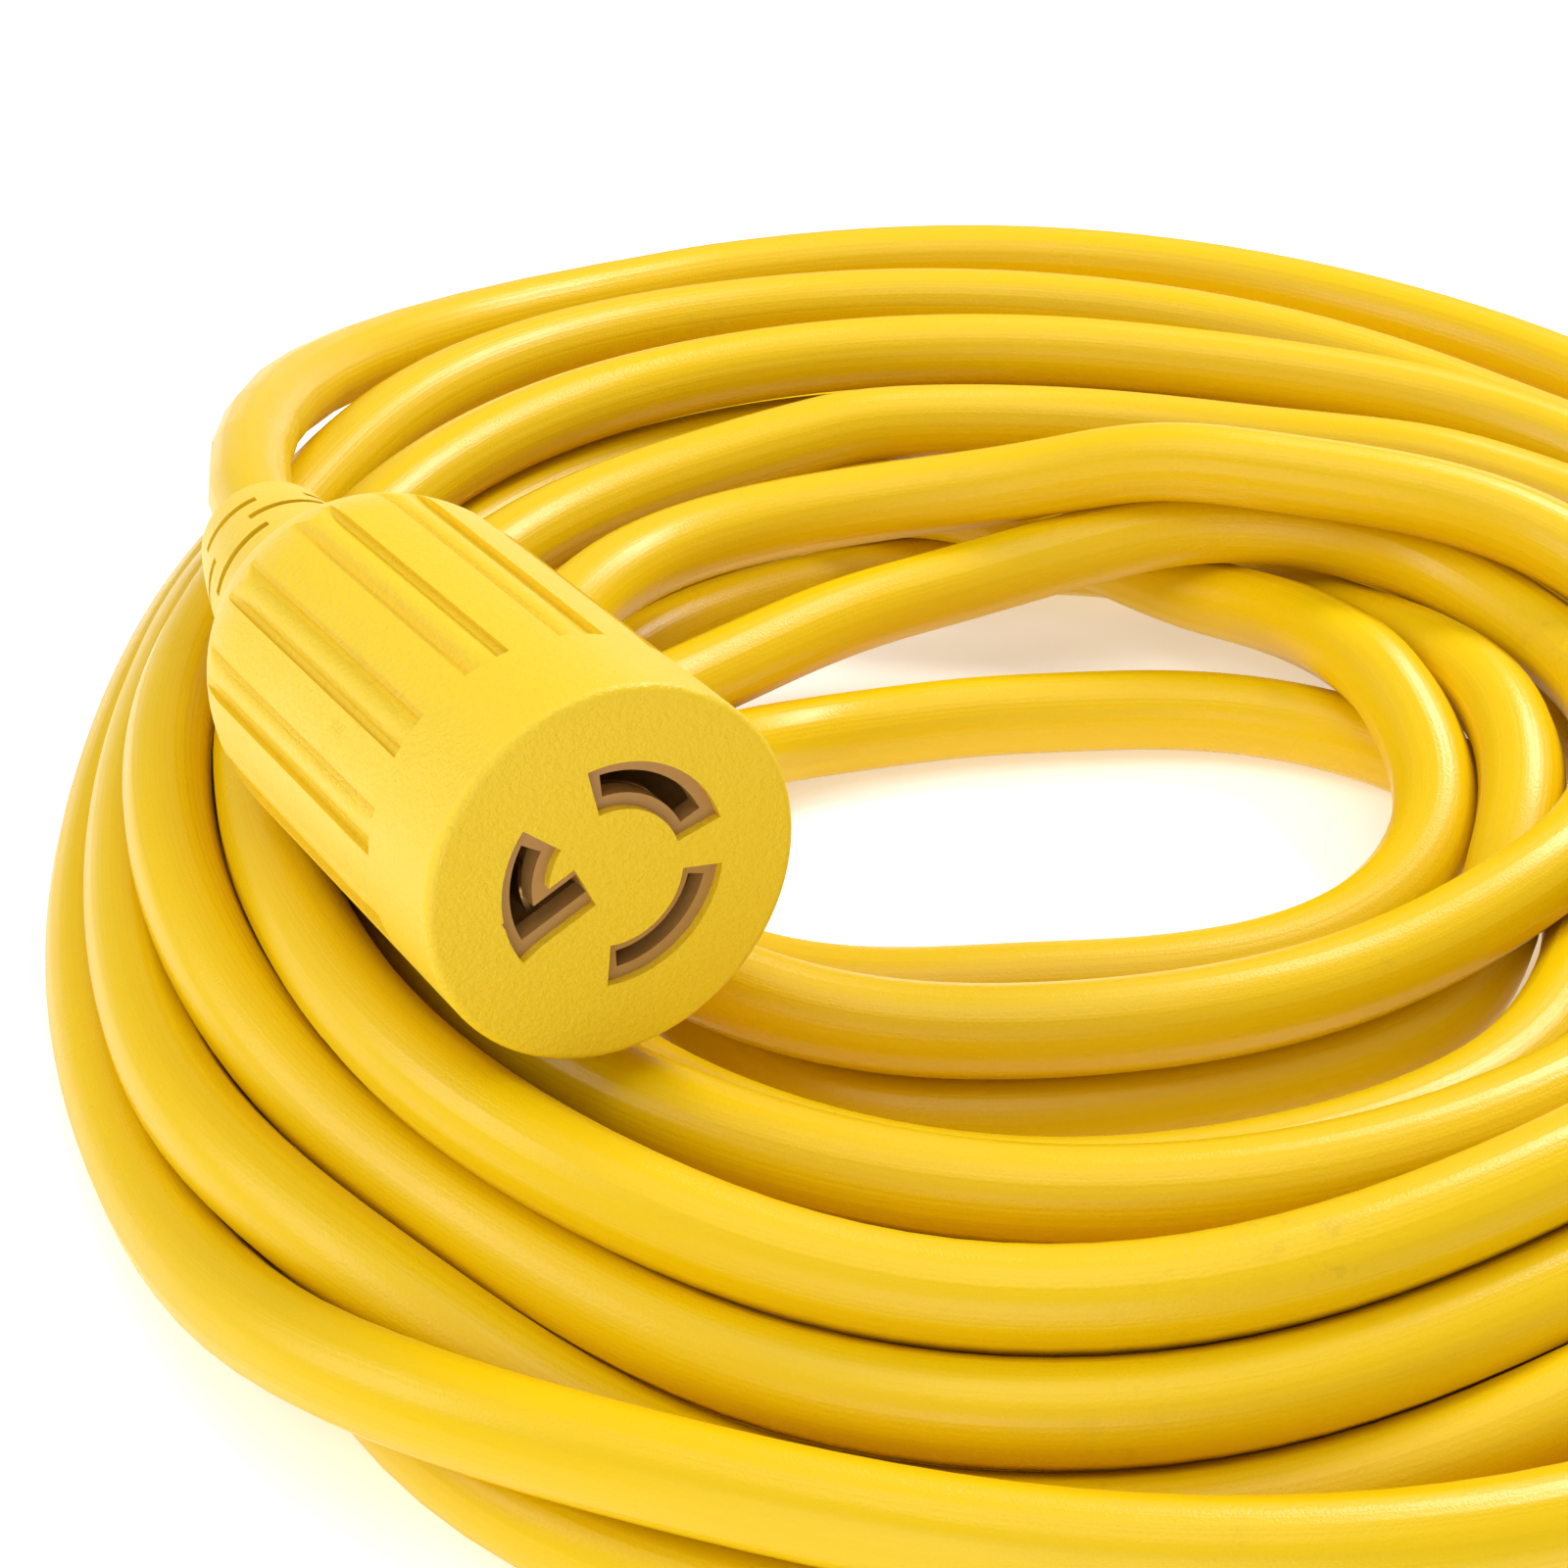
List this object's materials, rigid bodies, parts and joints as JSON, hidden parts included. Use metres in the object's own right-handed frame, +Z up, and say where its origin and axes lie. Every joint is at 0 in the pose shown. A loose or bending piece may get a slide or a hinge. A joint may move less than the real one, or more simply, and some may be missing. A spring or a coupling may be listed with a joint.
{
  "type": "shore power cord",
  "caption": "Coiled heavy-duty three-conductor power cord with a moulded locking connector body on one end and a moulded locking blade plug on the other.",
  "frame": {"origin": "middle of the coil, on the surface it lies on", "axes": "+Z up from that surface; +Y away from the front of the coil, where the connector's face looks out; +X to the side where the plug lies"},
  "size_m": [0.2419, 0.2565, 0.0623],
  "materials": {
    "yellow_overmould": "fine grained moulded PVC",
    "yellow_jacket": "satin extruded PVC",
    "amber_nylon": "smooth",
    "inner_mould": "as moulded",
    "brass": "stamped",
    "copper": "bare stranded copper",
    "white_insulation": "extruded PVC",
    "black_insulation": "extruded PVC",
    "green_insulation": "extruded PVC"
  },
  "bodies": {
    "root": {"connector_body": "yellow_overmould", "connector_carrier": "amber_nylon", "connector_contact_ground": "brass", "connector_contact_line": "brass", "connector_contact_neutral": "brass", "connector_inner_mold": "inner_mould", "connector_strands_ground": "copper", "connector_strands_line": "copper", "connector_strands_neutral": "copper", "connector_wire_ground": "green_insulation", "connector_wire_line": "black_insulation", "connector_wire_neutral": "white_insulation", "cord_coil": "yellow_jacket", "cord_lead": "yellow_jacket", "cord_tail": "yellow_jacket", "plug_blade_ground": "brass", "plug_blade_line": "brass", "plug_blade_neutral": "brass", "plug_body": "yellow_overmould", "plug_carrier": "amber_nylon", "plug_inner_mold": "inner_mould", "plug_strands_ground": "copper", "plug_strands_line": "copper", "plug_strands_neutral": "copper", "plug_wire_ground": "green_insulation", "plug_wire_line": "black_insulation", "plug_wire_neutral": "white_insulation"}
  },
  "joints": []
}
